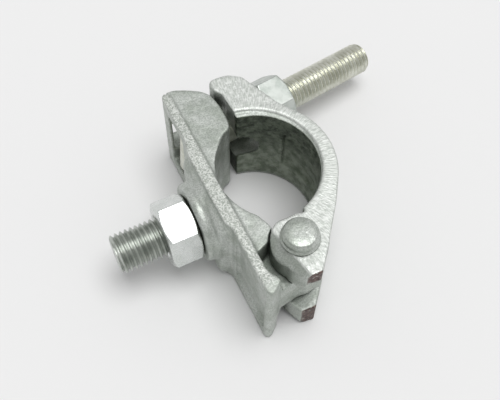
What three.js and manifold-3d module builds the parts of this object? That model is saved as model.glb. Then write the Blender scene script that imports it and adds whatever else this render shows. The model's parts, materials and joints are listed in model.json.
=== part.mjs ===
// Scaffold coupler clamp: a drop-forged half coupler for 48.3 mm tube, with a mounting bolt.
// It lies on its side: +Z is the tube's axis, +X points out of the base through the flap,
// and +Y points from the hinge to the T-bolt. All lengths are in millimetres.
// The pieces are modelled around the tube's axis and then set down on the plane z = 0.

import * as THREE from 'three';
import { mergeVertices } from 'three/addons/utils/BufferGeometryUtils.js';
import Module from 'manifold-3d';

// ---------------------------------------------------------------- driving dimensions
const TUBE_BORE_R = 24.4; // both halves grip a 48.3 mm tube
const REST_Z = -21; // the plane that the coupler lies on, below the tube's mid-plane
const FLAP_TOP_Z = 21;
const BASE_TOP_Z = 19.7;
const HUMP_TOP_Z = 18.6; // the cheeks lie a little below the plate's rim
const GAP = 0.3; // clearance between pieces that touch on the real coupler

const PLATE_FRONT_X = -24.7;
const PLATE_BACK_X = -28.6;
const PAD_BACK_X = -33.1; // the thick middle of the plate
const BOSS_BACK_X = -37.1; // the round seat under the mounting nut
const BOSS_R = 16;

const PIN = new THREE.Vector2(-9.1, -33.2);
const PIN_R = 6;
const LUG_HALF = 8;
const LUG_NOSE_R = 9.4;
const FORK_R = 10.6; // round of the flap's two cheeks about the pin
const TAIL_SWEEP_R = 15.5; // room for the ends of the cheeks as the flap opens
const FLAP_BORE = new THREE.Vector2(-9.3, 1.2); // the empty flap is shut past the tube's circle
const FLAP_BORE_R = 24.3;

const TBOLT_PIVOT = new THREE.Vector3(-21.5, 34.3, -0.3);
const TBOLT_YAW = 10.4; // degrees towards +Y
const TBOLT_DROOP = 4.3; // degrees downwards: the loose bolt hangs in its slot
const TBOLT_R = 6.9;
const TBOLT_NECK_R = 6.35;
const TBOLT_THREAD_START = 20;
const TBOLT_LENGTH = 92;
const TBAR_R = 5.5;
const TBAR_HALF = 13;
const WASHER = { from: 30.4, thickness: 2.6, radius: 12.5 };
const CLAMP_NUT = { from: 33.3, height: 12.7, acrossFlats: 22, turn: 16 };

const STUD_R = 7.9;
const STUD_TIP_X = -68.9;
const STUD_HEAD = { radius: 12.8, front: -25.2, thickness: 4.4, socket: 10, socketDepth: 3 };
const MOUNTING_NUT = { from: 37.4, height: 12.7, acrossFlats: 24, turn: 46.3 };

const steel = (color, roughness) => new THREE.MeshStandardMaterial({ color, roughness, metalness: 0.9 });
const GALVANISED = steel(0xb4bab6, 0.5);
const ZINC_PLATED = steel(0xc3c6c0, 0.35);

// ---------------------------------------------------------------- solids
const manifold = await Module();
manifold.setup();

/** A closed three.js geometry as a solid that can be joined and cut. */
function solid(geometry) {
  const bare = geometry.clone();
  bare.deleteAttribute('normal');
  bare.deleteAttribute('uv');
  const merged = mergeVertices(bare, 1e-4);
  return new manifold.Manifold(new manifold.Mesh({
    numProp: 3,
    vertProperties: new Float32Array(merged.attributes.position.array),
    triVerts: new Uint32Array(merged.index.array),
  }));
}

/** The triangles of a joined or cut solid as a three.js geometry. */
function geometryOf(shape) {
  const mesh = shape.getMesh();
  const geometry = new THREE.BufferGeometry();
  geometry.setAttribute('position', new THREE.BufferAttribute(mesh.vertProperties, 3));
  geometry.setIndex(new THREE.BufferAttribute(mesh.triVerts, 1));
  geometry.computeVertexNormals();
  return geometry;
}

/** A closed outline of [x, y, corner radius] points; a missing radius leaves the corner sharp. */
function roundedOutline(points) {
  const shape = new THREE.Shape();
  points.forEach(([x, y, radius = 0], i) => {
    const corner = new THREE.Vector2(x, y);
    const before = new THREE.Vector2(...points.at(i - 1)).sub(corner);
    const after = new THREE.Vector2(...points[(i + 1) % points.length]).sub(corner);
    const reach = Math.min(radius, 0.45 * before.length(), 0.45 * after.length());
    const start = corner.clone().add(before.setLength(reach));
    const end = corner.clone().add(after.setLength(reach));
    if (i === 0) shape.moveTo(start.x, start.y);
    else shape.lineTo(start.x, start.y);
    if (reach > 0) shape.quadraticCurveTo(x, y, end.x, end.y);
  });
  return shape;
}

/** An outline in plan, extruded from one height to another. */
function plate(shape, bottom, top) {
  const geometry = new THREE.ExtrudeGeometry(shape, {
    depth: top - bottom,
    bevelEnabled: false,
    curveSegments: 3,
  });
  return solid(geometry.translate(0, 0, bottom));
}

/** A box between two corners. */
function block(low, high) {
  const size = new THREE.Vector3().subVectors(high, low);
  const middle = new THREE.Vector3().addVectors(low, high).multiplyScalar(0.5);
  return solid(new THREE.BoxGeometry(size.x, size.y, size.z).translate(middle.x, middle.y, middle.z));
}

/** A turned solid: [radius, height] profile points spun about Z. */
function turned(profile, segments = 36) {
  const points = profile.map(([radius, height]) => new THREE.Vector2(radius, height));
  return solid(new THREE.LatheGeometry(points, segments).rotateX(Math.PI / 2));
}

/** A plain round bar about Z between two heights. */
function roundBar(radius, bottom, top, segments = 36) {
  return turned([[0, bottom], [radius, bottom], [radius, top], [0, top]], segments);
}

/** Moves a solid made about Z so that Z becomes the given direction and the origin the given point. */
function aim(shape, origin, direction, turn = 0) {
  const forward = direction.clone().normalize();
  const side = new THREE.Vector3().crossVectors(new THREE.Vector3(0, 0, 1), forward).normalize();
  const up = new THREE.Vector3().crossVectors(forward, side);
  const matrix = new THREE.Matrix4().makeBasis(up, side, forward).setPosition(origin);
  matrix.multiply(new THREE.Matrix4().makeRotationZ(THREE.MathUtils.degToRad(turn)));
  return shape.transform(matrix.elements);
}

/** A hexagon nut about Z, one corner on +X, both ends chamfered, with a plain hole at the thread's size. */
function hexNut({ from, height, acrossFlats }, holeRadius) {
  const corner = acrossFlats / Math.sqrt(3);
  const chamfer = (corner - acrossFlats / 2) * 0.6;
  const prism = solid(new THREE.CylinderGeometry(corner, corner, height, 6)
    .rotateX(Math.PI / 2).rotateZ(Math.PI / 2).translate(0, 0, from + height / 2));
  const top = from + height;
  const faced = turned([
    [0, from], [acrossFlats / 2, from], [corner + 0.1, from + chamfer],
    [corner + 0.1, top - chamfer], [acrossFlats / 2, top], [0, top],
  ]);
  return prism.intersect(faced).subtract(roundBar(holeRadius, from - 1, top + 1));
}

const at = (x, y, z) => new THREE.Vector3(x, y, z);

/** The direction of the T-bolt, with its yaw and its droop. */
function tboltDirection() {
  const yaw = THREE.MathUtils.degToRad(TBOLT_YAW);
  const droop = THREE.MathUtils.degToRad(TBOLT_DROOP);
  return at(Math.cos(yaw) * Math.cos(droop), Math.sin(yaw) * Math.cos(droop), -Math.sin(droop));
}

// ---------------------------------------------------------------- base
/** The plate's back: thin at both ends, thick in the middle, with a round seat for the nut. */
function basePlate() {
  const outline = roundedOutline([
    [PLATE_BACK_X, -47.4, 1.5], [-26.2, -47.6, 1.5], [-21.6, -44, 1.5], [PLATE_FRONT_X, -39.5, 2],
    [PLATE_FRONT_X, 46, 1], [-26.6, 49.2, 1.5], [PLATE_BACK_X, 47.4, 1],
    [PLATE_BACK_X, 21, 2], [PAD_BACK_X, 17, 2], [PAD_BACK_X, -16, 1], [PLATE_BACK_X, -18, 1],
  ]);
  const seat = roundBar(BOSS_R, -0.5, PAD_BACK_X - BOSS_BACK_X, 40);
  return plate(outline, REST_Z, BASE_TOP_Z)
    .add(aim(seat, at(PAD_BACK_X, 0, 0), at(-1, 0, 0)));
}

/** The two humps that hold the saddle's arc between them. */
function baseHumps() {
  const overlap = PLATE_FRONT_X - 1;
  const boltHump = roundedOutline([
    [overlap, 3], [-24.5, 3], [-16.4, 18.2, 1], [-13.5, 21.3, 1], [-9.9, 22.6, 2], [-8.8, 27.5, 1],
    [-8.8, 36.5, 2], [-10.4, 43, 2], [-17.9, 48.1, 3], [-23.5, 50.2, 3], [overlap, 49.6],
  ]);
  const hingeHump = roundedOutline([
    [overlap, -3], [overlap, -31], [-22.4, -29.9, 1], [-15.6, -26.6, 1.5], [-15.3, -23, 1.5],
    [-17.5, -17.2, 1], [-24.5, -3],
  ]);
  return plate(boltHump, REST_Z + 0.9, HUMP_TOP_Z).add(plate(hingeHump, REST_Z + 0.9, HUMP_TOP_Z));
}

/** The hinge lug: one thick ear round the pin that widens to the plate like a Y. */
function hingeLug() {
  const plan = roundedOutline([
    [PLATE_FRONT_X - 1, -22], [-17, -24],
    [PIN.x, PIN.y + LUG_NOSE_R - 0.6], [PIN.x, PIN.y - LUG_NOSE_R + 0.6],
    [-16, -42.5, 2], [-21.7, -43.8, 1], [PLATE_FRONT_X - 1, -44.5],
  ]);
  const nose = roundBar(LUG_NOSE_R, -LUG_HALF, LUG_HALF, 32);
  const wide = 18;
  const side = roundedOutline([
    [PLATE_FRONT_X - 1, -wide], [PLATE_FRONT_X + 1.8, -wide + 2, 2], [PLATE_FRONT_X + 4, -LUG_HALF, 2],
    [0, -LUG_HALF], [0, LUG_HALF], [PLATE_FRONT_X + 4, LUG_HALF, 2], [PLATE_FRONT_X + 1.8, wide - 2, 2],
    [PLATE_FRONT_X - 1, wide],
  ]);
  const ear = block(at(-60, -60, -LUG_HALF - 0.01), at(0, 0, LUG_HALF + 0.01));
  const tailRoom = roundBar(TAIL_SWEEP_R, -30, 30, 48).translate([PIN.x, PIN.y, 0]).subtract(ear);
  const flare = aimSide(side, -50, -20).subtract(tailRoom);
  return plate(plan, -wide, wide).intersect(flare).add(nose.translate([PIN.x, PIN.y, 0]));
}

/** An outline given in X and Z, extruded along Y between two places. */
function aimSide(shape, from, to) {
  const options = { depth: to - from, bevelEnabled: false, curveSegments: 3 };
  const geometry = new THREE.ExtrudeGeometry(shape, options);
  return solid(geometry.rotateX(Math.PI / 2).translate(0, to, 0));
}

function baseSaddle() {
  const tube = roundBar(TUBE_BORE_R, -30, 30, 72);
  const forkRoom = roundBar(FORK_R + 0.6, -30, 30, 32).translate([PIN.x, PIN.y, 0]);
  const lugBand = block(at(-60, -60, -LUG_HALF - 0.01), at(0, 0, LUG_HALF + 0.01));
  const headPocket = block(at(-40, 27.2, -14.8), at(-14.4, 47.4, 14.8));
  const boltSlot = block(at(-26.3, 27.4, -8.6), at(5, 60, 8.6));
  const backRecess = block(at(-40, -44.6, -16), at(PLATE_BACK_X + 1.8, -20.5, 15));
  const head = STUD_HEAD;
  const studHole = roundBar(STUD_R + GAP, -10, 30, 36);
  const headRecess = roundBar(head.radius + GAP, -10, head.thickness + GAP, 36);
  const pinHole = roundBar(PIN_R + GAP, -30, 30, 32).translate([PIN.x, PIN.y, 0]);

  return basePlate()
    .add(baseHumps().subtract(forkRoom.subtract(lugBand)))
    .subtract(tube)
    .add(hingeLug())
    .subtract(pinHole)
    .subtract(headPocket)
    .subtract(boltSlot)
    .subtract(backRecess)
    .subtract(aim(studHole, at(head.front, 0, 0), at(-1, 0, 0)))
    .subtract(aim(headRecess, at(head.front, 0, 0), at(-1, 0, 0)));
}

// ---------------------------------------------------------------- flap
function flap() {
  const outline = roundedOutline([
    [-9.4, 44.5, 1.5], [-7.5, 46.6, 1.5], [-0.5, 46.4, 2], [4.2, 43.2, 2], [7.6, 34.5, 3], [12.1, 23.5, 3],
    [19.9, 12, 4], [21.9, 0.2, 5], [19.4, -11.5, 5], [10.4, -25.1, 3], [-4.6, -44.2, 1], [-8.2, -48.3],
    [-13.8, -47.7], [-17.2, -41.6, 1], [-18.2, -35], [-9.1, -24], [-2, -24], [-5.9, 24], [-6.5, 37.5, 1],
    [-8.6, 40.6],
  ]);
  const cheekRound = roundBar(FORK_R, REST_Z, FLAP_TOP_Z, 32).translate([PIN.x, PIN.y, 0]);
  const bore = roundBar(FLAP_BORE_R, -30, 30, 72).translate([FLAP_BORE.x, FLAP_BORE.y, 0]);
  const forkHalf = LUG_HALF + 0.7;
  const forkSlot = roundBar(LUG_NOSE_R + 1.6, -forkHalf, forkHalf, 32).translate([PIN.x, PIN.y, 0])
    .add(block(at(-30, -60, -forkHalf), at(10, PIN.y, forkHalf)));
  const slot = { middle: -0.8, half: 8.9, bottom: 31.4 };
  const slotEnd = aim(roundBar(slot.half, -60, 60, 32), at(0, slot.bottom, slot.middle), at(1, 0, 0));
  const boltSlot = slotEnd.add(
    block(at(-60, slot.bottom, slot.middle - slot.half), at(60, 60, slot.middle + slot.half)));
  const rivetHole = turned([
    [0, -30], [8.4, -30], [8.4, REST_Z], [PIN_R + GAP, REST_Z + 3], [PIN_R + GAP, 30], [0, 30],
  ], 32).translate([PIN.x, PIN.y, 0]);

  return plate(outline, REST_Z, FLAP_TOP_Z)
    .add(cheekRound)
    .subtract(bore)
    .subtract(forkSlot)
    .subtract(boltSlot)
    .subtract(rivetHole);
}

// ---------------------------------------------------------------- fasteners
/** The hinge rivet: a stepped round head on top, and a tail spread flush into the lower cheek. */
function hingePin() {
  const head = FLAP_TOP_Z + GAP;
  return turned([
    [0, REST_Z + 0.1], [7.9, REST_Z + 0.1], [PIN_R, REST_Z + 3], [PIN_R, head], [7.3, head],
    [7.3, head + 1.2], [6.8, head + 1.6], [6.8, head + 3], [5.6, head + 4.2], [0, head + 4.5],
  ], 32).translate([PIN.x, PIN.y, 0]);
}

function tbolt() {
  const shank = turned([
    [0, 0], [TBOLT_NECK_R, 0], [TBOLT_NECK_R, TBOLT_THREAD_START], [TBOLT_R, TBOLT_THREAD_START + 0.6],
    [TBOLT_R, TBOLT_LENGTH - 2.2], [TBOLT_R - 1.9, TBOLT_LENGTH], [0, TBOLT_LENGTH],
  ], 28);
  const crossBar = aim(roundBar(TBAR_R, -TBAR_HALF, TBAR_HALF, 28), at(0, 0, 0), at(1, 0, 0.0001));
  return aim(shank.add(crossBar), TBOLT_PIVOT, tboltDirection());
}

function tboltWasher() {
  const ring = roundBar(WASHER.radius, WASHER.from, WASHER.from + WASHER.thickness, 32)
    .subtract(roundBar(TBOLT_R + GAP, 0, 60, 28));
  return aim(ring, TBOLT_PIVOT, tboltDirection());
}

function tboltNut() {
  return aim(hexNut(CLAMP_NUT, TBOLT_R + GAP), TBOLT_PIVOT, tboltDirection(), CLAMP_NUT.turn);
}

/** The mounting bolt: a low round head sunk in the saddle, held from inside by a hexagon socket. */
function mountingBolt() {
  const { radius, front, thickness, socket, socketDepth } = STUD_HEAD;
  const length = front - STUD_TIP_X;
  const body = turned([
    [0, 0], [radius - 0.8, 0], [radius, 0.8], [radius, thickness], [STUD_R, thickness],
    [STUD_R, length - 1.6], [STUD_R - 1.6, length], [0, length],
  ]);
  const socketR = socket / Math.sqrt(3);
  const hexSocket = solid(new THREE.CylinderGeometry(socketR, socketR, socketDepth * 2, 6)
    .rotateX(Math.PI / 2));
  return aim(body.subtract(hexSocket), at(front, 0, 0), at(-1, 0, 0));
}

function mountingNut() {
  return aim(hexNut(MOUNTING_NUT, STUD_R + GAP), at(0, 0, 0), at(-1, 0, 0), MOUNTING_NUT.turn);
}

// ---------------------------------------------------------------- assembly
const pieces = [
  ['base_saddle', baseSaddle(), GALVANISED],
  ['flap', flap(), GALVANISED],
  ['hinge_pin', hingePin(), GALVANISED],
  ['tbolt', tbolt(), ZINC_PLATED],
  ['tbolt_washer', tboltWasher(), ZINC_PLATED],
  ['tbolt_nut', tboltNut(), ZINC_PLATED],
  ['mounting_bolt', mountingBolt(), ZINC_PLATED],
  ['mounting_nut', mountingNut(), ZINC_PLATED],
];

const coupler = new THREE.Group();
for (const [name, shape, material] of pieces) {
  const mesh = new THREE.Mesh(geometryOf(shape), material);
  mesh.name = name;
  coupler.add(mesh);
}

// Set down: the middle of the outer box goes over the origin, and its underside to z = 0.
const outerBox = new THREE.Box3().setFromObject(coupler);
const middle = outerBox.getCenter(new THREE.Vector3());
coupler.position.set(-middle.x, -middle.y, -outerBox.min.z);
coupler.updateMatrixWorld(true);

export default coupler;
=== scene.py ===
"""Looks of a scaffold coupler clamp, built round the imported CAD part.

The coupler is a drop-forged half coupler for 48.3 mm tube: a base saddle with a mounting bolt, a
hinged flap, and a T-bolt with its nut. Pieces are modelled in millimetres about the tube's axis
(+X out of the base through the flap, +Y from the hinge to the T-bolt, +Z along the tube) and are
brought to metres and to the CAD part's place by Datum.settle.
"""

import json
import logging
import math
from collections.abc import Callable, Iterator, Sequence
from contextlib import contextmanager
from dataclasses import dataclass
from enum import Enum

import bmesh
import bpy
from mathutils import Matrix, Vector


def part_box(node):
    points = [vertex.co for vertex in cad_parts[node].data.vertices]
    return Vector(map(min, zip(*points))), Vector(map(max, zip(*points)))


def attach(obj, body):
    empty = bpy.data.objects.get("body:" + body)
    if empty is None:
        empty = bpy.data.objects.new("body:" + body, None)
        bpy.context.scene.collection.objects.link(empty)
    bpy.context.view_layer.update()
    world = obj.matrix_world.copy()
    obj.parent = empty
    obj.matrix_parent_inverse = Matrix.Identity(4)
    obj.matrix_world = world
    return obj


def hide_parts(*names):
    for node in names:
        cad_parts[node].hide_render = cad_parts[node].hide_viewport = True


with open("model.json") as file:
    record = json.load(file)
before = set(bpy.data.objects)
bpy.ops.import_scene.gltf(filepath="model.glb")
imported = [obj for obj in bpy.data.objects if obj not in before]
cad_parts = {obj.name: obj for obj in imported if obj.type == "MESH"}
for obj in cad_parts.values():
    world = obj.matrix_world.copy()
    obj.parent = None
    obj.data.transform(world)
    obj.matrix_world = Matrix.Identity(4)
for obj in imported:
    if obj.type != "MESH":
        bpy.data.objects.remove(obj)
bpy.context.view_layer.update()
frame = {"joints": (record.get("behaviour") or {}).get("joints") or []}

MM = 0.001  # a millimetre in metres
LOG = logging.getLogger("coupler")

Piece = bpy.types.Object
Point = tuple[float, float, float]
Corner = tuple[float, float, float]  # x, y and the corner's rounding


# ---------------------------------------------------------------- modelling bench
class Join(Enum):
    """How one solid is put together with another."""

    ADD = "UNION"
    CUT = "DIFFERENCE"
    KEEP = "INTERSECT"


class Part(Enum):
    """What a test selects in edit mode."""

    VERT = "verts"
    EDGE = "edges"


def activate(piece: Piece) -> None:
    """Makes piece the only selected object and the active one."""
    for other in bpy.context.selected_objects:
        other.select_set(False)
    piece.select_set(True)
    bpy.context.view_layer.objects.active = piece


@contextmanager
def editing(piece: Piece) -> Iterator[None]:
    """Edit mode on one piece, with nothing selected at first.

    Args:
        piece: the mesh to edit.
    """
    activate(piece)
    bpy.ops.object.mode_set(mode="EDIT")
    bpy.ops.mesh.select_mode(type="VERT")
    bpy.ops.mesh.select_all(action="DESELECT")
    yield
    bpy.ops.object.mode_set(mode="OBJECT")


def pick(piece: Piece, part: Part, test: Callable[..., bool]) -> int:
    """Selects the vertices or edges that pass a test, in edit mode.

    Args:
        piece: the mesh being edited.
        part: what is selected.
        test: takes a BMVert or BMEdge and says whether it is wanted.

    Returns:
        How many were selected.
    """
    bpy.ops.mesh.select_all(action="DESELECT")
    bpy.ops.mesh.select_mode(type=part.name)
    mesh = bmesh.from_edit_mesh(piece.data)
    wanted = [item for item in getattr(mesh, part.value) if test(item)]
    for item in wanted:
        item.select_set(True)
    mesh.select_flush_mode()
    bmesh.update_edit_mesh(piece.data)
    return len(wanted)


def middle_of(edge: bmesh.types.BMEdge) -> Vector:
    """The middle of an edge."""
    return (edge.verts[0].co + edge.verts[1].co) / 2


def is_level(edge: bmesh.types.BMEdge) -> bool:
    """Whether both ends of an edge are at one height."""
    return abs(edge.verts[0].co.z - edge.verts[1].co.z) < 1e-3


def fix_transform(piece: Piece) -> None:
    """Puts the object's place, turn and scale into its mesh."""
    activate(piece)
    bpy.ops.object.transform_apply(location=True, rotation=True, scale=True)


def face_outwards(piece: Piece, merge: float = 1e-4) -> None:
    """Merges doubled points and then turns all faces outwards."""
    with editing(piece):
        bpy.ops.mesh.select_all(action="SELECT")
        bpy.ops.mesh.remove_doubles(threshold=merge)
        bpy.ops.mesh.normals_make_consistent(inside=False)


def trace(name: str, points: Sequence[Point]) -> Piece:
    """A line drawn by extruding one point from place to place.

    Args:
        name: the new object's name.
        points: the places, in order.

    Returns:
        An object that holds an open line.
    """
    bpy.ops.mesh.primitive_plane_add(size=1.0, location=points[0])
    line = bpy.context.active_object
    line.name = name
    fix_transform(line)
    with editing(line):
        bpy.ops.mesh.select_all(action="SELECT")
        bpy.ops.mesh.merge(type="CENTER")
        for start, end in zip(points, points[1:]):
            step = Vector(end) - Vector(start)
            bpy.ops.mesh.extrude_region_move(TRANSFORM_OT_translate={"value": step})
    return line


def prism(name: str, corners: Sequence[Corner], bottom: float, top: float, arc_steps: int = 6) -> Piece:
    """An outline in plan with rounded corners, extruded upwards.

    Args:
        name: the new object's name.
        corners: x, y and rounding of each corner, in order round the outline.
        bottom: height of the underside.
        top: height of the upper side.
        arc_steps: segments in each rounded corner.

    Returns:
        A closed solid.
    """
    solid = trace(name, [(x, y, bottom) for x, y, _ in corners])
    with editing(solid):
        bpy.ops.mesh.select_all(action="SELECT")
        bpy.ops.mesh.edge_face_add()
        for x, y, rounding in corners:
            if rounding > 0:
                place = Vector((x, y, bottom))
                pick(solid, Part.VERT, lambda v, place=place: (v.co - place).length < 1e-3)
                bpy.ops.mesh.bevel(offset=rounding, segments=arc_steps, affect="VERTICES", clamp_overlap=True)
        bpy.ops.mesh.select_mode(type="FACE")
        bpy.ops.mesh.select_all(action="SELECT")
        bpy.ops.mesh.extrude_region_move(TRANSFORM_OT_translate={"value": (0, 0, top - bottom)})
    face_outwards(solid)
    return solid


def spun(name: str, profile: Sequence[tuple[float, float]], steps: int = 64) -> Piece:
    """A turned solid about Z.

    Args:
        name: the new object's name.
        profile: radius and height pairs, from the axis to the axis.
        steps: segments round the axis.

    Returns:
        A closed solid.
    """
    solid = trace(name, [(radius, 0.0, height) for radius, height in profile])
    with editing(solid):
        bpy.ops.mesh.select_all(action="SELECT")
        bpy.ops.mesh.spin(steps=steps, angle=math.tau, center=(0, 0, 0), axis=(0, 0, 1))
    face_outwards(solid, 1e-3)
    return solid


def bar(name: str, radius: float, low: float, high: float, steps: int = 64) -> Piece:
    """A round bar about Z with softened ends, from one height to another."""
    soft = min(0.2, 0.1 * radius)
    return spun(name, [(0, low), (radius - soft, low), (radius, low + soft), (radius, high - soft),
                       (radius - soft, high), (0, high)], steps)


def block(name: str, low: Point, high: Point, rounding: float = 0.0) -> Piece:
    """A box between two corners.

    Args:
        name: the new object's name.
        low: lowest corner.
        high: highest corner.
        rounding: radius of its edges.

    Returns:
        A closed solid.
    """
    size = Vector(high) - Vector(low)
    bpy.ops.mesh.primitive_cube_add(size=1.0, location=(Vector(low) + Vector(high)) / 2, scale=size)
    solid = bpy.context.active_object
    solid.name = name
    fix_transform(solid)
    if rounding > 0:
        with editing(solid):
            bpy.ops.mesh.select_all(action="SELECT")
            bpy.ops.mesh.bevel(offset=rounding, segments=5, affect="EDGES")
    return solid


def move(piece: Piece, matrix: Matrix) -> Piece:
    """Moves a piece by a matrix and keeps its place in its mesh."""
    piece.matrix_world = matrix @ piece.matrix_world
    fix_transform(piece)
    return piece


def aimed(origin: Point, direction: Vector, turn: float = 0.0) -> Matrix:
    """The matrix that lays a solid made about Z along a direction.

    Args:
        origin: where the solid's origin goes.
        direction: where its +Z points; its +Y goes up.
        turn: turn about its own axis, in degrees.

    Returns:
        The placing matrix.
    """
    forward = direction.normalized()
    side = Vector((0, 0, 1)).cross(forward).normalized()
    up = forward.cross(side)
    basis = Matrix((side, up, forward)).transposed().to_4x4()
    return Matrix.Translation(origin) @ basis @ Matrix.Rotation(math.radians(turn), 4, "Z")


def join(piece: Piece, how: Join, *tools: Piece) -> Piece:
    """Adds, cuts or keeps solids in turn with a boolean modifier, and removes the tools.

    Args:
        piece: the solid that is changed.
        how: how the tools act on it.
        tools: the other solids.

    Returns:
        The changed solid.
    """
    for tool in tools:
        modifier = piece.modifiers.new("join", "BOOLEAN")
        modifier.operation = how.value
        modifier.solver = "EXACT"
        modifier.object = tool
        activate(piece)
        bpy.ops.object.modifier_apply(modifier=modifier.name)
        bpy.data.objects.remove(tool)
    return piece


def soften(piece: Piece, cell: float, rounds: int, strength: float = 0.5) -> None:
    """Gives a solid the soft edges of a forging, by a fine remesh that is then smoothed.

    Args:
        piece: the solid.
        cell: size of the remesh's cells.
        rounds: how often it is smoothed.
        strength: how much each round smooths.
    """
    remesh = piece.modifiers.new("cells", "REMESH")
    remesh.mode, remesh.voxel_size, remesh.adaptivity = "VOXEL", cell, 0.0
    smooth = piece.modifiers.new("soft", "SMOOTH")
    smooth.factor, smooth.iterations = strength, rounds
    activate(piece)
    for modifier in (remesh, smooth):
        bpy.ops.object.modifier_apply(modifier=modifier.name)


def roughen(piece: Piece, size: float, depth: float) -> None:
    """Pushes a surface in and out a little, as a die and a trim leave it.

    Args:
        piece: the solid.
        size: how wide its hollows are.
        depth: how deep they are.
    """
    texture = bpy.data.textures.new("forged_hollows", "CLOUDS")
    texture.noise_scale, texture.noise_depth = size, 2
    displace = piece.modifiers.new("hollows", "DISPLACE")
    displace.texture, displace.texture_coords = texture, "LOCAL"
    displace.strength, displace.mid_level = depth, 0.75
    activate(piece)
    bpy.ops.object.modifier_apply(modifier=displace.name)


@dataclass(frozen=True)
class Thread:
    """A rolled metric thread about Z.

    Attributes:
        radius: outside radius.
        pitch: rise of one turn.
        low: where the thread starts.
        high: the bolt's tip.
        steps: segments in one turn.
        tip: length of the rounded tip.
    """

    radius: float
    low: float
    high: float
    pitch: float = 2.0
    tip: float = 1.6
    steps: int = 64

    @property
    def depth(self) -> float:
        """Depth of the thread, from the pitch."""
        return 0.6134 * self.pitch

    def build(self, name: str) -> Piece:
        """Sweeps one tooth into a helix, squares both ends and chamfers the tip.

        Args:
            name: the new object's name.

        Returns:
            A closed solid.
        """
        root, crest, pitch = self.radius - self.depth, self.radius, self.pitch
        tooth = [(root, 0.0), (root, 0.06), (root + 0.16, 0.15), (crest - 0.12, 0.40), (crest, 0.46),
                 (crest, 0.55), (crest - 0.12, 0.61), (root + 0.16, 0.86), (root, 0.95), (root, 1.0)]
        start = self.low - 2 * pitch
        solid = trace(name, [(r, 0.0, start + share * pitch) for r, share in tooth])
        sweep = solid.modifiers.new("helix", "SCREW")
        sweep.axis, sweep.screw_offset, sweep.angle = "Z", pitch, math.tau
        sweep.iterations = math.ceil((self.high - self.low) / pitch) + 4
        sweep.steps = sweep.render_steps = self.steps
        sweep.use_merge_vertices, sweep.merge_threshold = True, 0.001
        activate(solid)
        bpy.ops.object.modifier_apply(modifier=sweep.name)
        face_outwards(solid, 1e-3)
        with editing(solid):
            for place, normal in ((self.low, -1.0), (self.high, 1.0)):
                bpy.ops.mesh.select_all(action="SELECT")
                bpy.ops.mesh.bisect(plane_co=(0, 0, place), plane_no=(0, 0, normal), use_fill=True,
                                    clear_outer=True)
        face_outwards(solid, 1e-3)
        drop = 1.8  # how much narrower the tip is at its end
        arc = [(crest + 0.1 - drop * (1 - math.cos(a)), self.high - self.tip * (1 - math.sin(a)))
               for a in (math.radians(degrees) for degrees in (0, 20, 40, 60, 80, 90))]
        tip = spun(f"{name}_tip", [(0, self.low - 1), (crest + 1, self.low - 1),
                                   (crest + 1, self.high - self.tip - 0.3), *arc, (0, self.high)])
        return join(solid, Join.KEEP, tip)


# ---------------------------------------------------------------- place in the frame
@dataclass(frozen=True)
class Datum:
    """Where the tube's axis meets the coupler's mid-plane, in the row frame.

    Attributes:
        origin: that point, in metres.
    """

    origin: Vector

    @classmethod
    def from_frame(cls, pin: tuple[float, float]) -> "Datum":
        """Finds the axis from the hinge's place.

        Args:
            pin: the hinge pin's x and y from the tube's axis, in mm.

        Returns:
            The datum.
        """
        hinge = next(j for j in frame["joints"] if j["name"] == "flap_hinge")
        low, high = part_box("flap")
        x, y = (hinge["pos_m"][i] - pin[i] * MM for i in range(2))
        return cls(Vector((x, y, (low.z + high.z) / 2)))

    def at(self, point: Point) -> Vector:
        """A place given in mm from the tube's axis, in the row frame."""
        return self.origin + Vector(point) * MM

    def settle(self, piece: Piece) -> None:
        """Brings a finished piece from mm about the tube's axis to its place in metres."""
        move(piece, Matrix.Translation(self.origin) @ Matrix.Scale(MM, 4))


PIN = (-9.1, -33.2)  # the hinge's axis, in mm from the tube's axis
DATUM = Datum.from_frame(PIN)
TBOLT_PIVOT = (-21.5, 34.3, -0.3)
STUD_HEAD_FRONT = -25.2  # where the mounting bolt's head begins, along X


def at_pin(piece: Piece) -> Piece:
    """Moves a piece made about Z to the hinge's axis."""
    return move(piece, Matrix.Translation((*PIN, 0)))


def tbolt_direction() -> Vector:
    """The T-bolt's direction, from the axis along which its nut travels."""
    travel = next(j for j in frame["joints"] if j["name"] == "clamp_nut_travel")
    return Vector(travel["axis"])


# ---------------------------------------------------------------- finishes
def linear(hex_colour: str) -> tuple[float, float, float, float]:
    """An sRGB colour as the linear values that the shader takes.

    Args:
        hex_colour: six hex digits after a hash.

    Returns:
        Red, green, blue and alpha.
    """
    parts = [int(hex_colour[i:i + 2], 16) / 255 for i in (1, 3, 5)]
    red, green, blue = (c / 12.92 if c <= 0.04045 else ((c + 0.055) / 1.055) ** 2.4 for c in parts)
    return red, green, blue, 1.0


Socket = bpy.types.NodeSocket


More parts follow.
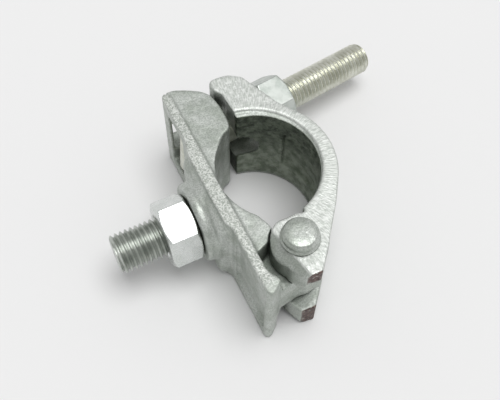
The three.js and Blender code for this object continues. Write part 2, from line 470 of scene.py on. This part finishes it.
class Sheet:
    """One material's node tree, with its nodes added one by one."""

    def __init__(self, name: str) -> None:
        """Starts a material that holds only its output.

        Args:
            name: the material's name.
        """
        self.material = bpy.data.materials.new(name)
        self.material.use_nodes = True
        self.tree = self.material.node_tree
        self.tree.nodes.clear()
        place = self.add("ShaderNodeTexCoord").outputs["Object"]
        # Millimetres from the tube's axis, so that every pattern below is sized in mm.
        self.mm = self.add("ShaderNodeMapping", {"Vector": place, "Location": -DATUM.origin / MM,
                                                 "Scale": (1 / MM,) * 3}).outputs["Vector"]

    def add(self, kind: str, inputs: dict | None = None, **settings: object) -> bpy.types.Node:
        """Adds a node.

        Args:
            kind: the node's type.
            inputs: values or sockets for its inputs, by name or number.
            settings: its properties.

        Returns:
            The node.
        """
        node = self.tree.nodes.new(kind)
        for key, value in settings.items():
            setattr(node, key, value)
        for key, value in (inputs or {}).items():
            if isinstance(value, Socket):
                self.tree.links.new(value, node.inputs[key])
            else:
                node.inputs[key].default_value = value
        return node

    def maths(self, operation: str, *values: float | Socket) -> Socket:
        """The result of a Math node on one to three numbers."""
        return self.add("ShaderNodeMath", dict(enumerate(values)), operation=operation).outputs[0]

    def ramp(self, value: Socket, low: float, high: float, start: float = 0.0, end: float = 1.0) -> Socket:
        """A number brought smoothly from one range to another, and held at its ends.

        Args:
            value: the number.
            low: where the change begins.
            high: where it ends.
            start: result at low.
            end: result at high.

        Returns:
            The new number.
        """
        inputs = {"Value": value, "From Min": low, "From Max": high, "To Min": start, "To Max": end}
        return self.add("ShaderNodeMapRange", inputs, interpolation_type="SMOOTHSTEP").outputs["Result"]

    def noise(self, size: float, detail: float = 3.0, place: Socket | None = None,
              rough: float = 0.55) -> Socket:
        """Cloudy noise from 0 to 1.

        Args:
            size: how wide its patches are, in mm.
            detail: how many finer layers it has.
            place: where it is read, or None for the plain position.
            rough: how strong the finer layers are.

        Returns:
            The noise.
        """
        inputs = {"Vector": place or self.mm, "Scale": 1 / size, "Detail": detail, "Roughness": rough}
        return self.add("ShaderNodeTexNoise", inputs).outputs["Fac"]

    def blend(self, share: float | Socket, first: tuple | Socket, second: tuple | Socket,
              how: str = "MIX") -> Socket:
        """Two colours mixed by a share.

        Args:
            share: 0 for the first colour, 1 for the second.
            first: a colour.
            second: another colour.
            how: the mixing mode.

        Returns:
            The mixed colour.
        """
        mix = self.add("ShaderNodeMix", data_type="RGBA", blend_type=how)
        for index, value in ((0, share), (6, first), (7, second)):
            if isinstance(value, Socket):
                self.tree.links.new(value, mix.inputs[index])
            else:
                mix.inputs[index].default_value = value
        return mix.outputs[2]

    def crevice(self, reach: float) -> Socket:
        """How shut in a point is, from 0 in the open to 1 deep in a gap that is reach mm wide."""
        return self.maths("SUBTRACT", 1.0, self.add("ShaderNodeAmbientOcclusion", {"Distance": reach * MM},
                                                    samples=8).outputs["AO"])

    def close(self, colour: Socket, roughness: float | Socket, metallic: float,
              bumps: Sequence[tuple[Socket, float]]) -> None:
        """Ends the tree with a Principled shader.

        Args:
            colour: base colour.
            roughness: how far it spreads a reflection.
            metallic: how metallic it is.
            bumps: heights from 0 to 1 and how many mm each stands for.
        """
        normal = None
        for height, depth in bumps:
            inputs = {"Height": height, "Distance": depth * MM, "Strength": 1.0}
            if normal is not None:
                inputs["Normal"] = normal
            normal = self.add("ShaderNodeBump", inputs).outputs["Normal"]
        shader = self.add("ShaderNodeBsdfPrincipled", {"Base Color": colour, "Roughness": roughness,
                                                       "Metallic": metallic, "Normal": normal})
        self.add("ShaderNodeOutputMaterial", {"Surface": shader.outputs["BSDF"]})


class Zone(Enum):
    """Which forging a galvanised finish is for, because each has its own worked places."""

    SADDLE = "saddle"
    FLAP = "flap"
    RIVET = "rivet"


@dataclass(frozen=True)
class Galvanised:
    """Hot-dip galvanised forged steel: dull, faintly green zinc over a rough forging skin.

    It is pale and grainy where it was rubbed, and painted shade makes it darker and greener in corners and
    gaps.

    Attributes:
        zone: the forging it covers.
        pale: rubbed zinc.
        dull: weathered zinc.
        hollow: colour of the painted shade in corners and gaps.
    """

    zone: Zone
    pale: str = "#cacec9"
    dull: str = "#b0b6ae"
    hollow: str = "#4b5548"
    metallic: float = 0.62
    roughness: float = 0.46

    def make(self) -> bpy.types.Material:
        """Builds the material with the zones of its forging."""
        sheet = Sheet(f"hot_dip_galvanised_forged_{self.zone.value}")
        clouds = sheet.ramp(sheet.noise(9.0), 0.35, 0.65)
        speckle = sheet.ramp(sheet.noise(0.55, 2.0), 0.40, 0.62)
        colour = sheet.blend(clouds, linear(self.pale), linear(self.dull))
        colour = sheet.blend(sheet.maths("MULTIPLY", speckle, 0.42), colour, linear("#7b847a"))
        rough = sheet.ramp(sheet.noise(2.5), 0.3, 0.7, self.roughness - 0.08, self.roughness + 0.1)
        bumps = [(sheet.noise(1.6), 0.14), (sheet.noise(0.45, 1.0), 0.055)]
        if self.zone is Zone.SADDLE:
            colour, bumps = self.saddle(sheet, colour, bumps)
        if self.zone is Zone.FLAP:
            colour, bumps = self.flap(sheet, colour, bumps)
        # Painted shade: where ambient occlusion finds corners and gaps, the colour is darkened towards
        # hollow.
        gap = sheet.ramp(sheet.crevice(9.0), 0.35, 0.95)
        colour = sheet.blend(sheet.maths("MULTIPLY", gap, 0.85), colour, linear(self.hollow))
        sheet.close(colour, rough, self.metallic, bumps)
        return sheet.material

    def saddle(self, sheet: Sheet, colour: Socket, bumps: list[tuple[Socket, float]]) -> tuple[Socket, list]:
        """The base's trimmed rim: a bright, finely speckled strip along the plate's edge.

        Args:
            sheet: the node tree.
            colour: colour so far.
            bumps: bumps so far.

        Returns:
            The new colour and bumps.
        """
        x, y, z = sheet.add("ShaderNodeSeparateXYZ", {"Vector": sheet.mm}).outputs
        strip = sheet.maths("MULTIPLY", sheet.ramp(z, 18.7, 19.3), sheet.ramp(x, -24.0, -25.2))
        strip = sheet.maths("MULTIPLY", strip, sheet.ramp(y, -47.0, -41.0))
        grain = sheet.ramp(sheet.noise(0.6, 3.0), 0.40, 0.64)
        bright = sheet.blend(grain, linear("#d6d9d4"), linear("#a3a9a1"))
        colour = sheet.blend(strip, colour, bright)
        return colour, bumps + [(sheet.maths("MULTIPLY", grain, strip), 0.07)]

    def flap(self, sheet: Sheet, colour: Socket, bumps: list[tuple[Socket, float]]) -> tuple[Socket, list]:
        """The flap's trimmed sides, its bore of dark scale under painted shade, and the bare cut ends of its
        cheeks.

        Args:
            sheet: the node tree.
            colour: colour so far.
            bumps: bumps so far.

        Returns:
            The new colour and bumps.
        """
        bore = sheet.add("ShaderNodeVectorMath", {0: sheet.mm, 1: (*Flap.bore_centre, 0.0)},
                         operation="SUBTRACT").outputs[0]
        x, y, z = sheet.add("ShaderNodeSeparateXYZ", {"Vector": bore}).outputs
        squares = sheet.maths("ADD", sheet.maths("MULTIPLY", x, x), sheet.maths("MULTIPLY", y, y))
        radius, height = sheet.maths("SQRT", squares), sheet.maths("ABSOLUTE", z)
        arc = sheet.maths("MULTIPLY", sheet.maths("ARCTAN2", y, x), 30.0)  # mm along a circle of 30 mm
        spread = sheet.maths("MULTIPLY", radius, 0.22)  # draws the trim marks out along the radius
        along = sheet.add("ShaderNodeCombineXYZ", {0: arc, 1: spread, 2: z}).outputs[0]
        marks = sheet.ramp(sheet.noise(0.55, 2.0, along), 0.36, 0.66)
        side = sheet.ramp(height, 20.2, 20.7)
        bright = sheet.blend(marks, linear("#dfe2de"), linear("#c0c5bf"))
        colour = sheet.blend(side, colour, bright)

        # The bore's colour is partly dark forging scale and partly painted shade: darker inside the bore, and
        # darker towards the top from low to high.
        inside = sheet.maths("MULTIPLY", sheet.ramp(radius, 26.4, 25.9), sheet.ramp(height, 20.0, 19.2))
        low = sheet.blend(sheet.ramp(sheet.noise(4.0), 0.35, 0.65), linear("#9aa294"), linear("#6c7566"))
        high = sheet.blend(sheet.ramp(sheet.noise(3.0), 0.35, 0.65), linear("#727b6c"), linear("#3f483b"))
        colour = sheet.blend(inside, colour, sheet.blend(sheet.ramp(z, -12.0, 12.0), low, high))
        turn = sheet.maths("MULTIPLY", arc, 0.06)  # draws the ribs out round the bore
        rings = sheet.add("ShaderNodeCombineXYZ", {0: turn, 1: 0.0, 2: z}).outputs[0]
        ribs = sheet.maths("MULTIPLY", sheet.noise(1.8, 2.0, rings), inside)

        bare = sheet.maths("MAXIMUM", sheet.ramp(z, 14.0, 15.4), sheet.ramp(z, -8.0, -9.0))
        patches = sheet.ramp(sheet.noise(1.6, 4.0), 0.30, 0.42)
        cut = sheet.maths("MULTIPLY", sheet.ramp(y, -48.6, -49.0), patches)
        cut = sheet.maths("MULTIPLY", cut, bare)
        rust = sheet.blend(sheet.ramp(sheet.noise(0.9, 3.0), 0.4, 0.6), linear("#6f5d57"), linear("#3a2a26"))
        colour = sheet.blend(cut, colour, rust)
        lumps = sheet.maths("MULTIPLY", sheet.noise(3.0, 4.0), inside)
        return colour, bumps + [(sheet.maths("MULTIPLY", marks, side), 0.04), (lumps, 0.9), (ribs, 0.5)]


@dataclass(frozen=True)
class ZincPlated:
    """Electroplated zinc on machined steel: smoother and brighter than the forgings, softly grained.

    Attributes:
        name: what the finish is on.
        pale: the plating's colour.
        dull: its darker patches.
        roughness: how far it spreads a reflection.
        root_shade: colour of the painted shade in the thread's roots and other shut-in corners.
        depth: how much of that painted shade shows.
    """

    name: str
    pale: str = "#d6d9d6"
    dull: str = "#bcc2bf"
    roughness: float = 0.27
    root_shade: str = "#8f8e78"
    depth: float = 0.8

    def make(self) -> bpy.types.Material:
        """Builds the material."""
        sheet = Sheet(f"zinc_plated_{self.name}")
        clouds = sheet.ramp(sheet.noise(5.0), 0.35, 0.65)
        colour = sheet.blend(clouds, linear(self.pale), linear(self.dull))
        # Painted shade: where ambient occlusion finds the thread's roots and other shut-in corners, the
        # colour is darkened towards tint by depth.
        gap = sheet.ramp(sheet.crevice(1.6), 0.25, 0.9)
        colour = sheet.blend(sheet.maths("MULTIPLY", gap, self.depth), colour, linear(self.root_shade))
        rough = sheet.ramp(sheet.noise(1.2), 0.3, 0.7, self.roughness - 0.04, self.roughness + 0.06)
        sheet.close(colour, rough, 0.85, [(sheet.noise(1.8), 0.03), (sheet.noise(0.5, 1.0), 0.01)])
        return sheet.material


def dress(piece: Piece, material: bpy.types.Material, body: str, node: str) -> None:
    """Gives a settled piece its finish and its place in the frame.

    Args:
        piece: the piece, already in metres.
        material: its finish.
        body: the CAD body that it rides on.
        node: the CAD node that it stands for.
    """
    piece.data.materials.clear()
    piece.data.materials.append(material)
    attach(piece, body)
    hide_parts(node)
    LOG.info("%s: %d faces", piece.name, len(piece.data.polygons))


def shade(piece: Piece, angle: float | None = None) -> None:
    """Shades a piece smooth, all over or only where faces meet at less than an angle in degrees."""
    activate(piece)
    if angle is None:
        bpy.ops.object.shade_smooth()
    else:
        bpy.ops.object.shade_smooth_by_angle(angle=math.radians(angle))


# ---------------------------------------------------------------- base saddle
@dataclass
class Saddle:
    """The forged base: a plate, two humps round the tube's seat, the nut's seat and one hinge ear."""

    rest: float = -21.0
    plate_top: float = 19.7
    hump_top: float = 18.6
    hump_bottom: float = -20.1
    bore: float = 24.4
    front: float = -24.7
    back: float = -28.6
    rim_bulge: float = 1.6
    pad_back: float = -33.1
    boss_back: float = -37.1
    boss_radius: float = 16.0
    lug_half: float = 8.0
    lug_nose: float = 9.4
    wide: float = 18.0
    fork_room: float = 11.2
    tail_room: float = 15.5
    pin_hole: float = 6.3
    stud_hole: float = 8.2
    head_recess: float = 13.1
    recess_depth: float = 4.7
    cell: float = 0.5

    def plate(self) -> Piece:
        """The plate from the hinge's end to the T-bolt's end."""
        rim = self.back - self.rim_bulge
        outline = [(self.back, -47.4, 1.6), (-26.2, -47.6, 1.6), (-21.6, -44.0, 1.5),
                   (self.front, -39.5, 2.0), (self.front, 46.0, 1.0), (-26.6, 49.2, 1.5),
                   (self.back, 47.4, 1.2), (self.back, 24.0, 1.0), (rim, 18.0, 1.5), (rim, -15.5, 1.2),
                   (self.back, -18.5, 0.8)]
        return prism("plate", outline, self.rest, self.plate_top)

    def pad(self) -> Piece:
        """The plate's thick middle, which is a step lower than its rim."""
        outline = [(self.back + 1.5, -18.0, 0.0), (self.back, -18.0, 0.0), (self.pad_back, -16.0, 1.6),
                   (self.pad_back, 17.0, 2.2), (self.back, 21.5, 0.0), (self.back + 1.5, 21.5, 0.0)]
        pad = prism("pad", outline, -18.2, 17.4)
        with editing(pad):
            pick(pad, Part.EDGE, lambda e: is_level(e) and middle_of(e).x < self.back - 0.6)
            bpy.ops.mesh.bevel(offset=2.6, segments=5, affect="EDGES")
        return pad

    def boss(self) -> Piece:
        """The round seat under the nut, with a foot that runs out into the pad."""
        depth = self.pad_back - self.boss_back
        radius = self.boss_radius
        profile = [(0, -1), (radius + 0.9, -1), (radius + 0.7, 0.3), (radius + 0.2, 0.9),
                   (radius, depth - 0.9), (radius - 0.8, depth), (0, depth)]
        return move(spun("boss", profile, 72), aimed((self.pad_back, 0, 0), Vector((-1, 0, 0))))

    def humps(self) -> list[Piece]:
        """The two humps that hold the seat's arc between them."""
        overlap = self.front - 1
        by_bolt = [(overlap, 3, 0), (-24.5, 3, 0), (-16.4, 18.2, 1), (-13.5, 21.3, 1.5), (-9.9, 22.6, 2),
                   (-8.8, 27.5, 2), (-8.8, 36.5, 3), (-10.4, 43, 3), (-17.9, 48.1, 4), (-23.5, 50.2, 3),
                   (overlap, 49.6, 0)]
        by_hinge = [(overlap, -3, 0), (overlap, -31, 0), (-22.4, -29.9, 1.4), (-15.6, -26.6, 1.8),
                    (-15.3, -23, 1.8), (-17.5, -17.2, 1.4), (-24.5, -3, 0)]
        bolt = prism("bolt_hump", by_bolt, self.hump_bottom, self.hump_top)
        hinge = prism("hinge_hump", by_hinge, self.hump_bottom, self.hump_top)
        with editing(bolt):
            pick(bolt, Part.EDGE, lambda e: is_level(e) and middle_of(e).x > self.front - 0.5)
            bpy.ops.mesh.bevel(offset=0.8, segments=3, affect="EDGES")
        rooms = (("upper_fork_room", self.lug_half, 30), ("lower_fork_room", -30, -self.lug_half))
        for name, low, high in rooms:
            join(hinge, Join.CUT, at_pin(bar(name, self.fork_room, low, high)))
        return [bolt, hinge]

    def lug(self) -> Piece:
        """The hinge ear, which widens to the plate like a Y with hollow sides."""
        overlap = self.front - 1
        plan = prism("lug", [(overlap, -22, 0), (-17, -24, 1), (PIN[0], PIN[1] + self.lug_nose - 0.6, 0),
                             (PIN[0], PIN[1] - self.lug_nose + 0.6, 0), (-16, -42.5, 2), (-21.7, -43.8, 1),
                             (overlap, -44.5, 0)], -self.wide, self.wide)
        reach, rise = 4.0, self.wide - 1.0 - self.lug_half
        arc = [(self.front + reach * math.sin(t), self.wide - 1.0 - rise * (1 - math.cos(t)))
               for t in (math.radians(a) for a in (5, 25, 45, 65, 85))]
        upper = [(overlap, self.wide), *arc, (0.0, self.lug_half)]
        section = [(x, -z, 0.0) for x, z in upper] + [(x, z, 0.0) for x, z in reversed(upper)]
        flare = prism("flare", section, 20, 50)
        move(flare, Matrix.Rotation(math.radians(90), 4, "X"))
        half = self.lug_half + 0.01
        tail_room = at_pin(bar("tail_room", self.tail_room, -30, 30, 96))
        join(tail_room, Join.CUT, block("ear_band", (-60, -60, -half), (0, 0, half)))
        join(flare, Join.CUT, tail_room)
        nose = at_pin(bar("nose", self.lug_nose, -self.lug_half, self.lug_half))
        join(plan, Join.KEEP, flare)
        return join(plan, Join.ADD, nose)

    def build(self) -> Piece:
        """Joins the parts of the forging, cuts its holes and pockets and softens it."""
        saddle = self.plate()
        saddle.name = "saddle_forging"
        join(saddle, Join.ADD, self.pad(), self.boss(), *self.humps())
        join(saddle, Join.CUT, bar("tube", self.bore, -40, 40, 96))
        join(saddle, Join.ADD, self.lug())
        head = aimed((STUD_HEAD_FRONT, 0, 0), Vector((-1, 0, 0)))
        pocket = block("head_pocket", (-40, 27.2, -14.8), (-14.4, 41.2, 14.8), 1.4)
        slot = block("bolt_slot", (-26.3, 27.4, -8.6), (5, 60, 8.6))
        # Lets the shank down past the pocket's end when the T-bolt is swung right out.
        swing_room = block("swing_room", (-27.1, 38.0, -8.6), (-20, 46.0, 8.6))
        recess = block("back_recess", (-40, -44.6, -16), (self.back + 1.8, -20.5, 15), 1.4)
        join(saddle, Join.CUT, at_pin(bar("pin_hole", self.pin_hole, -40, 40)), pocket, slot, swing_room,
             recess, move(bar("stud_hole", self.stud_hole, -10, 40), head),
             move(bar("head_recess", self.head_recess, -10, self.recess_depth), head))
        soften(saddle, self.cell, 4)
        roughen(saddle, 5.0, 0.22)
        shade(saddle)
        DATUM.settle(saddle)
        dress(saddle, Galvanised(Zone.SADDLE).make(), "base", "base_saddle")
        return saddle


# ---------------------------------------------------------------- flap
@dataclass
class Flap:
    """The hinged half: a bowed strap with a slot for the T-bolt and two cheeks round the hinge ear."""

    half_width: float = 21.0
    bore_centre: tuple[float, float] = (-9.3, 1.2)
    bore: float = 24.3
    cheek: float = 10.6
    fork: float = 11.0
    fork_half: float = 8.7
    rivet_hole: float = 6.3
    tail_seat: float = 8.4
    slot_half: float = 8.9
    slot_middle: float = -0.8
    slot_bottom: float = 31.4
    cell: float = 0.45

    def strap(self) -> Piece:
        """The bowed outline at full width, with a well-rounded end by the T-bolt."""
        outline = [(-9.4, 44.5, 1.5), (-7.5, 46.6, 1.5), (-0.5, 46.4, 2), (4.2, 43.2, 2), (7.6, 34.5, 3),
                   (12.1, 23.5, 3), (19.9, 12, 4), (21.9, 0.2, 5), (19.4, -11.5, 5), (10.4, -25.1, 3),
                   (-4.6, -44.2, 1), (-8.2, -48.3, 0), (-13.8, -47.7, 0), (-17.2, -41.6, 1), (-18.2, -35, 0),
                   (-9.1, -24, 0), (-2, -24, 0), (-5.9, 24, 0), (-6.5, 37.5, 1), (-8.6, 40.6, 0)]
        strap = prism("flap_forging", outline, -self.half_width, self.half_width)
        with editing(strap):
            pick(strap, Part.EDGE, lambda e: is_level(e) and middle_of(e).y > 43.0)
            bpy.ops.mesh.bevel(offset=1.4, segments=4, affect="EDGES")
        cheek = at_pin(bar("cheek", self.cheek, -self.half_width, self.half_width))
        return join(strap, Join.ADD, cheek)

    def bore_tools(self) -> list[Piece]:
        """The bore, its stepped rim and the shallow channel between its two lands."""
        centre = Matrix.Translation((*self.bore_centre, 0))
        bore = move(bar("bore", self.bore, -40, 40, 96), centre)
        rim = move(spun("rim", [(0, 20.0), (25.6, 20.0), (25.9, 20.3), (26.0, 24), (0, 24)], 96),
                   Matrix.Translation((self.bore_centre[0] - 0.6, self.bore_centre[1] + 1.0, 0)))
        land, floor = self.bore - 0.4, self.bore + 1.3
        channel = move(spun("channel", [(0, -10.5), (land, -10.5), (floor, -9.0), (floor, 9.5), (land, 11.5),
                                        (0, 11.5)], 96), centre)
        join(channel, Join.KEEP, block("channel_reach", (4.0, -30.0, -20.0), (30.0, 16.0, 20.0)))
        return [bore, rim, channel]

    def cheek_bevel(self) -> list[Piece]:
        """Tools that slope both cheeks' outer sides on the base's side of the pin."""
        start, end = Vector((-16.5, -25.0, 0)), Vector((-11.6, -49.5, 0))
        along = (end - start).normalized()
        out = Vector((0, 0, 1)).cross(along) * -1
        tools = []
        for side in (1, -1):
            slope = (out * 0.95 + Vector((0, 0, side))).normalized()
            tool = block("cheek_slope", (-20, -30, 0), (20, 30, 20))
            basis = Matrix((along.cross(slope), along, slope)).transposed().to_4x4()
            middle = (start + end) / 2 + Vector((0, 0, side * self.half_width))
            tools.append(move(tool, Matrix.Translation(middle) @ basis))
        return tools

    def build(self) -> Piece:
        """Cuts the bore, the fork, the T-bolt's slot and the rivet's hole, and softens the forging."""
        flap = self.strap()
        fork = join(at_pin(bar("fork", self.fork, -self.fork_half, self.fork_half)), Join.ADD,
                    block("fork_mouth", (-30, -60, -self.fork_half), (10, PIN[1], self.fork_half)))
        slot = join(move(bar("slot_end", self.slot_half, -60, 60),
                         aimed((0, self.slot_bottom, self.slot_middle), Vector((1, 0, 0)))), Join.ADD,
                    block("slot_mouth", (-60, self.slot_bottom, self.slot_middle - self.slot_half),
                          (60, 60, self.slot_middle + self.slot_half)))
        hole = at_pin(spun("rivet_hole", [(0, -30), (self.tail_seat, -30), (self.tail_seat, -21),
                                          (self.rivet_hole, -18), (self.rivet_hole, 30), (0, 30)]))
        join(flap, Join.CUT, *self.bore_tools(), fork, slot, hole, *self.cheek_bevel())
        soften(flap, self.cell, 3)
        roughen(flap, 5.0, 0.16)
        shade(flap)
        DATUM.settle(flap)
        dress(flap, Galvanised(Zone.FLAP).make(), "flap", "flap")
        return flap


@dataclass
class HingeRivet:
    """The hinge's rivet, with a stepped round head on top and a tail spread into the lower cheek."""

    radius: float = 6.0
    seat: float = 21.3
    tail: float = -20.9

    def build(self) -> Piece:
        """Turns the rivet and dresses it."""
        seat = self.seat
        profile = [(0, self.tail), (7.6, self.tail), (7.9, self.tail + 0.3), (self.radius, self.tail + 3.0),
                   (self.radius, seat), (7.0, seat), (7.3, seat + 0.3), (7.3, seat + 0.8), (7.0, seat + 1.2),
                   (6.75, seat + 1.5), (6.8, seat + 2.7), (6.65, seat + 3.2), (6.3, seat + 3.6),
                   (6.0, seat + 4.1),
                   (5.6, seat + 4.35), (3.0, seat + 4.45), (0, seat + 4.5)]
        rivet = at_pin(spun("hinge_rivet", profile, 72))
        shade(rivet, 35)
        DATUM.settle(rivet)
        dress(rivet, Galvanised(Zone.RIVET, roughness=0.4).make(), "flap", "hinge_pin")
        return rivet


# ---------------------------------------------------------------- bolts and nuts
@dataclass
class HexNut:
    """A hexagon nut with chamfered corners and a countersunk hole.

    Attributes:
        name: the piece's name.
        start: where it begins along the bolt.
        height: its height.
        flats: size across flats.
        hole: radius of its hole.
        turn: how far one corner is turned about the bolt, in degrees.
    """

    name: str
    start: float
    height: float
    flats: float
    hole: float
    turn: float

    def build(self) -> Piece:
        """Models the nut about Z, from its start along the bolt."""
        corner, low, high = self.flats / math.sqrt(3), self.start, self.start + self.height
        # The primitive's first corner is on +Y; 30 degrees bring a corner to +X.
        bpy.ops.mesh.primitive_cylinder_add(vertices=6, radius=corner, depth=self.height,
                                            rotation=(0, 0, math.radians(30 + self.turn)),
                                            location=(0, 0, (low + high) / 2))
        nut = bpy.context.active_object
        nut.name = self.name
        fix_transform(nut)
        face = self.flats / 2 * 0.97  # radius of the flat ring that the 30 degree chamfer leaves
        fall = (corner - face) * math.tan(math.radians(30))
        faced = spun(f"{self.name}_facing", [(0, low), (face, low), (corner, low + fall),
                                             (corner + 1, low + fall + 0.1), (corner + 1, high - fall - 0.1),
                                             (corner, high - fall), (face, high), (0, high)], 96)
        sink = 0.9  # depth of the countersink
        mouth = self.hole + sink + 1
        bore = spun(f"{self.name}_hole", [(0, low - 1), (mouth, low - 1), (self.hole, low + sink),
                                          (self.hole, high - sink), (mouth, high + 1), (0, high + 1)], 72)
        join(nut, Join.KEEP, faced)
        join(nut, Join.CUT, bore)
        soften(nut, 0.25, 2)
        return nut


@dataclass
class ClampBolt:
    """The T-bolt with its washer and its nut."""

    radius: float = 6.9
    neck: float = 6.35
    thread_start: float = 20.0
    length: float = 91.9
    bar_radius: float = 5.5
    bar_half: float = 13.0
    turn: float = 13.96

    def lay(self, piece: Piece, angle: float | None) -> None:
        """Lays a piece made about Z along the T-bolt and settles it."""
        move(piece, aimed(TBOLT_PIVOT, tbolt_direction()))
        shade(piece, angle)
        DATUM.settle(piece)

    def build(self) -> list[Piece]:
        """Models the bolt, the washer and the nut."""
        bolt = Thread(self.radius, self.thread_start, self.length, tip=3.0).build("clamp_tbolt")
        shank = spun("neck", [(0, 0), (self.neck, 0), (self.neck, self.thread_start - 0.4),
                              (self.radius - 1.0, self.thread_start + 1.2), (0, self.thread_start + 1.2)])
        cross = move(bar("cross_bar", self.bar_radius, -self.bar_half, self.bar_half),
                     Matrix.Rotation(math.pi / 2, 4, "X"))
        join(bolt, Join.ADD, shank, cross)
        self.lay(bolt, 35)
        # Painted shade in the thread's roots: the colour #85846c at a share of 0.8.
        finish = ZincPlated("clamp_thread", "#e6e7dd", "#d0d1c4", 0.33, "#85846c", 0.8)
        dress(bolt, finish.make(), "tbolt", "tbolt")

        low, high, outer, hole = 30.4, 33.0, 12.5, self.radius + 0.3
        profile = [(hole, low + 0.2), (hole + 0.2, low), (outer - 0.5, low), (outer, low + 0.5),
                   (outer, high - 0.5), (outer - 0.5, high), (hole + 0.2, high), (hole, high - 0.2),
                   (hole, low + 0.2)]
        washer = spun("clamp_washer", profile, 72)
        self.lay(washer, 35)
        dress(washer, ZincPlated("washer").make(), "tbolt_washer", "tbolt_washer")

        nut = HexNut("clamp_nut", 33.3, 12.7, 22.0, self.radius + 0.3, self.turn).build()
        self.lay(nut, None)
        finish = ZincPlated("clamp_nut", "#c9cec9", "#b2b9b3", 0.34)
        dress(nut, finish.make(), "tbolt_nut", "tbolt_nut")
        return [bolt, washer, nut]


@dataclass
class MountingBolt:
    """The M16 bolt through the base, with its low socket head and its nut."""

    radius: float = 7.9
    head_front: float = STUD_HEAD_FRONT
    tip: float = -68.9
    head_radius: float = 12.8
    head_thickness: float = 4.4
    turn: float = 43.7

    def lay(self, piece: Piece, start: float, angle: float | None) -> None:
        """Lays a piece made about Z along -X from a start and settles it."""
        move(piece, aimed((start, 0, 0), Vector((-1, 0, 0))))
        shade(piece, angle)
        DATUM.settle(piece)

    def build(self) -> list[Piece]:
        """Models the bolt and the nut."""
        length = self.head_front - self.tip
        bolt = Thread(self.radius, 11.0, length).build("mounting_stud")
        rim, neck = self.head_radius, self.radius - 0.2
        head = spun("head", [(0, 0), (rim - 0.9, 0), (rim - 0.2, 0.4), (rim, 1.0), (rim, self.head_thickness),
                             (neck, self.head_thickness), (neck, 11.5), (self.radius - 1.1, 12.6),
                             (0, 12.6)], 72)
        bpy.ops.mesh.primitive_cylinder_add(vertices=6, radius=5.77, depth=6.0)
        socket = bpy.context.active_object
        join(head, Join.CUT, socket)
        join(bolt, Join.ADD, head)
        self.lay(bolt, self.head_front, 35)
        # Painted shade in the thread's roots: the colour #41483a at a share of 0.95.
        finish = ZincPlated("stud_thread", "#c3c7c1", "#a3a8a1", 0.32, "#41483a", 0.95)
        dress(bolt, finish.make(), "mounting_bolt", "mounting_bolt")
        nut = HexNut("mounting_nut", 37.4, 12.7, 24.0, self.radius + 0.3, self.turn).build()
        self.lay(nut, 0.0, None)
        finish = ZincPlated("mounting_nut", "#e0e3e1", "#d5d9d6", 0.27)
        dress(nut, finish.make(), "mounting_nut", "mounting_nut")
        return [bolt, nut]


# ---------------------------------------------------------------- studio
@dataclass
class Studio:
    """A pale floor, soft light from above and the camera.

    Distances are in mm and angles in degrees; azimuth and elevation say where the camera stands.
    """

    aim_at: Point = (-12.31, -0.05, 0.0)
    distance: float = 305.8
    azimuth: float = 27.07
    elevation: float = 58.79
    roll: float = 1.13
    lens: float = 55.78

    def floor(self) -> None:
        """A wide matt floor under the coupler."""
        bpy.ops.mesh.primitive_plane_add(size=6.0, location=(0, 0, 0))
        floor = bpy.context.active_object
        floor.name = "floor"
        sheet = Sheet("matt_white_paper")
        colour = sheet.blend(sheet.noise(180.0), linear("#e9e9e9"), linear("#e7e7e7"))
        sheet.close(colour, 0.9, 0.0, [(sheet.noise(2.0), 0.01)])
        floor.data.materials.append(sheet.material)

    def camera(self) -> None:
        """The camera, from its distance and angles."""
        azimuth, elevation, roll = (math.radians(a) for a in (self.azimuth, self.elevation, self.roll))
        level = math.cos(elevation)
        ahead = Vector((math.sin(azimuth) * level, math.cos(azimuth) * level, -math.sin(elevation)))
        right = Vector((math.cos(azimuth), -math.sin(azimuth), 0))
        up = right.cross(ahead)
        across = right * math.cos(roll) + up * math.sin(roll)
        upwards = up * math.cos(roll) - right * math.sin(roll)
        data = bpy.data.cameras.new("camera")
        data.lens, data.sensor_width = self.lens, 36.0
        data.clip_start, data.clip_end = 0.01, 20.0
        camera = bpy.data.objects.new("camera", data)
        bpy.context.scene.collection.objects.link(camera)
        turn = Matrix((across, upwards, -ahead)).transposed().to_4x4()
        camera.matrix_world = Matrix.Translation(DATUM.at(self.aim_at) - ahead * self.distance * MM) @ turn
        bpy.context.scene.camera = camera

    def light(self) -> None:
        """An even pale sky and one broad soft light overhead."""
        world = bpy.data.worlds.new("studio")
        world.use_nodes = True
        bpy.context.scene.world = world
        world.node_tree.nodes["Background"].inputs["Color"].default_value = (1.0, 1.0, 1.0, 1.0)
        world.node_tree.nodes["Background"].inputs["Strength"].default_value = 0.53
        lamp = bpy.data.lights.new("overhead", "SUN")
        lamp.energy, lamp.angle = 1.72, math.radians(40)
        sun = bpy.data.objects.new("overhead", lamp)
        bpy.context.scene.collection.objects.link(sun)
        sun.rotation_mode = "QUATERNION"
        sun.rotation_quaternion = Vector((0.14, -0.08, 0.98)).to_track_quat("Z", "Y")

    def build(self) -> None:
        """Sets up the floor, the camera, the light and plain picture colours."""
        self.floor()
        self.camera()
        self.light()
        bpy.context.scene.view_settings.view_transform = "Standard"


def main() -> None:
    """Builds the studio and every piece."""
    logging.basicConfig(level=logging.INFO, format="%(message)s")
    Studio().build()
    for assembly in (Saddle(), Flap(), HingeRivet(), ClampBolt(), MountingBolt()):
        assembly.build()


if __name__ == "__main__":
    main()
